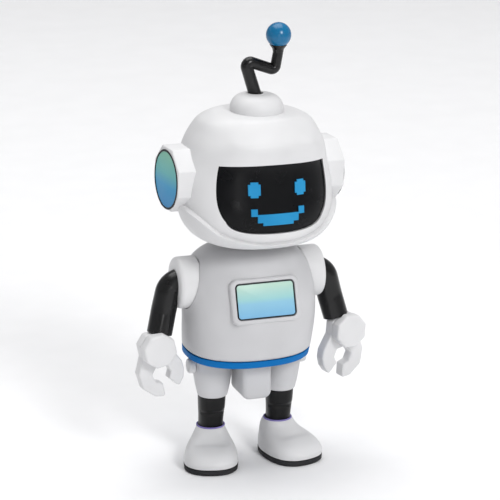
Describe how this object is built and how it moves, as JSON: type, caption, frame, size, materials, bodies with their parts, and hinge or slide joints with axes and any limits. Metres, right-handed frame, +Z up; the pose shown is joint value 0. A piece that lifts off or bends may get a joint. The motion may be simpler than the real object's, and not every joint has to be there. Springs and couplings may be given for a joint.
{
  "type": "posable toy robot figure",
  "caption": "Posable plastic toy robot with a domed helmet, bent antenna, dark visor, claw hands and shoes.",
  "frame": {"origin": "on the floor, under the middle of the figure's overall box", "axes": "+Z up, -Y the way the figure faces, -X the figure's right side"},
  "size_m": [0.0482, 0.0285, 0.0903],
  "materials": {
    "white_plastic": "satin",
    "black_gloss": "gloss",
    "visor_gloss": "gloss",
    "black_print": "satin",
    "blue_paint": "satin",
    "lit_print": "satin",
    "screen_print": "satin",
    "purple_paint": "satin",
    "dark_rubber": "matte",
    "steel": "satin"
  },
  "bodies": {
    "torso": {"torso_front": "white_plastic", "torso_back": "white_plastic", "hem_band": "blue_paint", "screen_bezel": "white_plastic", "screen_frame": "black_print", "screen_panel": "screen_print", "pelvis_block": "white_plastic", "hip_axle": "steel"},
    "neck": {"neck_peg": "white_plastic"},
    "neck_cup": {"neck_socket": "white_plastic"},
    "head": {"helmet_front": "white_plastic", "helmet_back": "white_plastic", "visor": "visor_gloss", "chin_guard": "white_plastic", "eye_right": "lit_print", "eye_left": "lit_print", "smile": "lit_print", "ear_pod_right": "white_plastic", "ear_disc_right": "screen_print", "ear_ring_right": "black_print", "ear_pod_left": "white_plastic", "ear_disc_left": "screen_print", "ear_ring_left": "black_print", "antenna_boss": "white_plastic", "antenna_stalk": "black_gloss", "antenna_cup": "black_gloss", "antenna_ball": "blue_paint"},
    "right_arm": {"shoulder_cap_right": "white_plastic", "arm_right": "black_gloss"},
    "right_hand": {"hand_hub_right": "white_plastic", "claw_right": "white_plastic", "wrist_peg_right": "black_gloss"},
    "right_leg": {"thigh_right": "white_plastic", "shin_right": "black_gloss", "hip_cap_right": "white_plastic"},
    "right_foot": {"shoe_right": "white_plastic", "sole_right": "dark_rubber", "ankle_ring_right": "purple_paint"},
    "left_arm": {"shoulder_cap_left": "white_plastic", "arm_left": "black_gloss"},
    "left_hand": {"hand_hub_left": "white_plastic", "claw_left": "white_plastic", "wrist_peg_left": "black_gloss"},
    "left_leg": {"thigh_left": "white_plastic", "shin_left": "black_gloss", "hip_cap_left": "white_plastic"},
    "left_foot": {"shoe_left": "white_plastic", "sole_left": "dark_rubber", "ankle_ring_left": "purple_paint"}
  },
  "joints": [
    {"name": "neck_turn", "type": "hinge", "parent": "torso", "child": "neck", "pos_m": [0, 0.0006, 0.0475], "axis": [0, 0, 1], "continuous": true},
    {"name": "head_nod", "type": "hinge", "parent": "neck", "child": "neck_cup", "pos_m": [0, 0.0006, 0.0475], "axis": [0.9962, 0.0872, 0], "range_deg": [-6, 6]},
    {"name": "head_tilt", "type": "hinge", "parent": "neck_cup", "child": "head", "pos_m": [0, 0.0006, 0.0475], "axis": [-0.0872, 0.9962, 0], "range_deg": [-7.8, 4.2]},
    {"name": "right_shoulder", "type": "hinge", "parent": "torso", "child": "right_arm", "pos_m": [-0.0152, 0.0011, 0.0386], "axis": [1, 0, 0], "range_deg": [-120, 100]},
    {"name": "right_wrist", "type": "hinge", "parent": "right_arm", "child": "right_hand", "pos_m": [-0.0186, 0.0004, 0.029], "axis": [-0.24, -0.144, -0.96], "continuous": true},
    {"name": "right_hip", "type": "hinge", "parent": "torso", "child": "right_leg", "pos_m": [-0.00725, 0.0016, 0.0207], "axis": [1, 0, 0], "range_deg": [-70, 60]},
    {"name": "right_ankle", "type": "hinge", "parent": "right_leg", "child": "right_foot", "pos_m": [-0.0072, 0.0031, 0.0073], "axis": [0, 0, 1], "range_deg": [-20, 20]},
    {"name": "left_shoulder", "type": "hinge", "parent": "torso", "child": "left_arm", "pos_m": [0.0152, 0.0011, 0.0386], "axis": [1, 0, 0], "range_deg": [-120, 100]},
    {"name": "left_wrist", "type": "hinge", "parent": "left_arm", "child": "left_hand", "pos_m": [0.0186, 0.0004, 0.029], "axis": [0.24, -0.144, -0.96], "continuous": true},
    {"name": "left_hip", "type": "hinge", "parent": "torso", "child": "left_leg", "pos_m": [0.00725, 0.0016, 0.0207], "axis": [1, 0, 0], "range_deg": [-70, 60]},
    {"name": "left_ankle", "type": "hinge", "parent": "left_leg", "child": "left_foot", "pos_m": [0.0072, 0.0031, 0.0073], "axis": [0, 0, 1], "range_deg": [-20, 20]}
  ]
}
